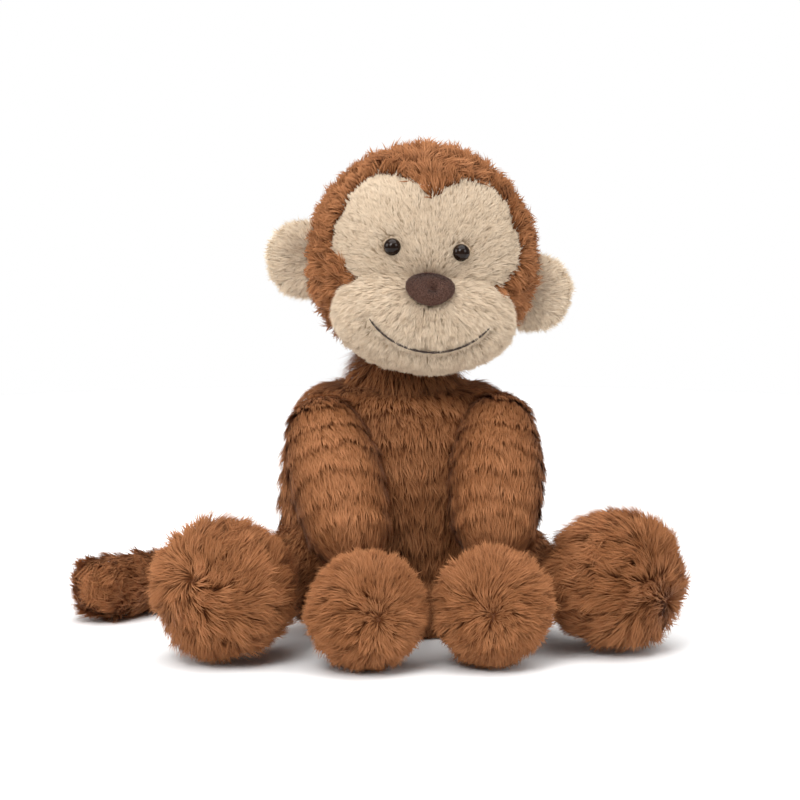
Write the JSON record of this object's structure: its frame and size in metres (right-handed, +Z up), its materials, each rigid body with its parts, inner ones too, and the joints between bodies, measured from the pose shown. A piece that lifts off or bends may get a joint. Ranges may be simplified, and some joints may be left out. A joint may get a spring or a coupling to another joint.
{
  "type": "stuffed monkey",
  "caption": "Plush monkey sitting on a flat seat, with a brown pile coat, beige face and ears, ball-shaped hands and feet, limp limbs and a long tail.",
  "frame": {"origin": "middle of the flat seat, on the surface that the toy sits on", "axes": "+Z up, the toy faces -Y, +X is the toy's own left"},
  "size_m": [0.28, 0.213, 0.2288],
  "materials": {
    "brown_pile": "long wavy polyester pile in ribs, mid reddish brown",
    "beige_pile": "short dense polyester pile, warm beige",
    "brown_velour": "short brushed velour, dark brown",
    "dark_thread": "embroidery thread, dark brown",
    "glossy_eye": "polished moulded plastic, near black brown",
    "white_plastic": "moulded washer, natural white",
    "stuffing": "loose polyester fibre",
    "pouch_cloth": "thin plain woven cloth",
    "bean_pellets": "small plastic pellets, as one packed mass"
  },
  "bodies": {
    "torso": {"torso_cover": "brown_pile", "torso_fill": "stuffing", "seat_bean_pouch": "pouch_cloth", "seat_beans": "bean_pellets"},
    "neck": {"neck_fill": "stuffing"},
    "head": {"head_hood": "brown_pile", "face_panel": "beige_pile", "head_fill": "stuffing", "muzzle_cover": "beige_pile", "muzzle_fill": "stuffing", "nose": "brown_velour", "mouth_stitch": "dark_thread", "eye_left": "glossy_eye", "eye_right": "glossy_eye", "eye_washer_left": "white_plastic", "eye_washer_right": "white_plastic"},
    "ear_left": {"ear_left_front": "beige_pile", "ear_left_back": "beige_pile"},
    "ear_right": {"ear_right_front": "beige_pile", "ear_right_back": "beige_pile"},
    "arm_left": {"arm_left_cover": "brown_pile", "arm_left_fill": "stuffing"},
    "hand_left": {"hand_left_cover": "brown_pile", "hand_left_fill": "stuffing"},
    "arm_right": {"arm_right_cover": "brown_pile", "arm_right_fill": "stuffing"},
    "hand_right": {"hand_right_cover": "brown_pile", "hand_right_fill": "stuffing"},
    "leg_left": {"leg_left_cover": "brown_pile", "leg_left_fill": "stuffing"},
    "foot_left": {"foot_left_cover": "brown_pile", "foot_left_fill": "stuffing"},
    "leg_right": {"leg_right_cover": "brown_pile", "leg_right_fill": "stuffing"},
    "foot_right": {"foot_right_cover": "brown_pile", "foot_right_fill": "stuffing"},
    "tail_base": {"tail_base_cover": "brown_pile", "tail_base_fill": "stuffing"},
    "tail_mid": {"tail_mid_cover": "brown_pile", "tail_mid_fill": "stuffing"},
    "tail_tip": {"tail_tip_cover": "brown_pile", "tail_tip_fill": "stuffing"}
  },
  "joints": [
    {"name": "head_turn", "type": "hinge", "parent": "torso", "child": "neck", "pos_m": [0, 0, 0.118], "axis": [0, 0, 1], "range_deg": [-60, 60], "stiffness_Nm_per_rad": 0.05},
    {"name": "head_nod", "type": "hinge", "parent": "neck", "child": "head", "pos_m": [0, 0, 0.118], "axis": [-1, 0, 0], "range_deg": [-12, 25], "stiffness_Nm_per_rad": 0.3},
    {"name": "ear_left_flap", "type": "hinge", "parent": "head", "child": "ear_left", "pos_m": [0.05984, -0.0027, 0.15974], "axis": [0.0869, -0.0068, 0.9962], "range_deg": [-15, 15], "stiffness_Nm_per_rad": 0.01},
    {"name": "ear_right_flap", "type": "hinge", "parent": "head", "child": "ear_right", "pos_m": [-0.04383, 0.00546, 0.17587], "axis": [-0.0869, 0.0068, -0.9962], "range_deg": [-15, 15], "stiffness_Nm_per_rad": 0.01},
    {"name": "shoulder_left", "type": "hinge", "parent": "torso", "child": "arm_left", "pos_m": [0.04, -0.03, 0.098], "axis": [-0.9367, -0.1787, 0.301], "range_deg": [0, 70]},
    {"name": "wrist_left", "type": "hinge", "parent": "arm_left", "child": "hand_left", "pos_m": [0.03429, -0.06005, 0.06239], "axis": [-0.9367, -0.1787, 0.301], "range_deg": [0, 35]},
    {"name": "hip_left", "type": "hinge", "parent": "torso", "child": "leg_left", "pos_m": [0.05, -0.012, 0.03], "axis": [-0.4227, -0.2808, 0.8617], "range_deg": [0, 40]},
    {"name": "ankle_left", "type": "hinge", "parent": "leg_left", "child": "foot_left", "pos_m": [0.06072, -0.02566, 0.0308], "axis": [-0.4227, -0.2808, 0.8617], "range_deg": [0, 30]},
    {"name": "shoulder_right", "type": "hinge", "parent": "torso", "child": "arm_right", "pos_m": [-0.04, -0.03, 0.098], "axis": [-0.9367, 0.1787, -0.301], "range_deg": [0, 70]},
    {"name": "wrist_right", "type": "hinge", "parent": "arm_right", "child": "hand_right", "pos_m": [-0.03429, -0.06005, 0.06239], "axis": [-0.9367, 0.1787, -0.301], "range_deg": [0, 35]},
    {"name": "hip_right", "type": "hinge", "parent": "torso", "child": "leg_right", "pos_m": [-0.05, -0.012, 0.03], "axis": [-0.4227, 0.2808, -0.8617], "range_deg": [0, 40]},
    {"name": "ankle_right", "type": "hinge", "parent": "leg_right", "child": "foot_right", "pos_m": [-0.06072, -0.02566, 0.0308], "axis": [-0.4227, 0.2808, -0.8617], "range_deg": [0, 30]},
    {"name": "tail_lift", "type": "hinge", "parent": "torso", "child": "tail_base", "pos_m": [-0.004, 0.051, 0.014], "axis": [0.6847, 0.7288, 0], "range_deg": [0, 30]},
    {"name": "tail_bend", "type": "hinge", "parent": "tail_base", "child": "tail_mid", "pos_m": [-0.037, 0.082, 0.014], "axis": [0, 0, -1], "range_deg": [-20, 45]},
    {"name": "tail_tip_bend", "type": "hinge", "parent": "tail_mid", "child": "tail_tip", "pos_m": [-0.096, 0.068, 0.014], "axis": [0, 0, -1], "range_deg": [-20, 45]}
  ]
}
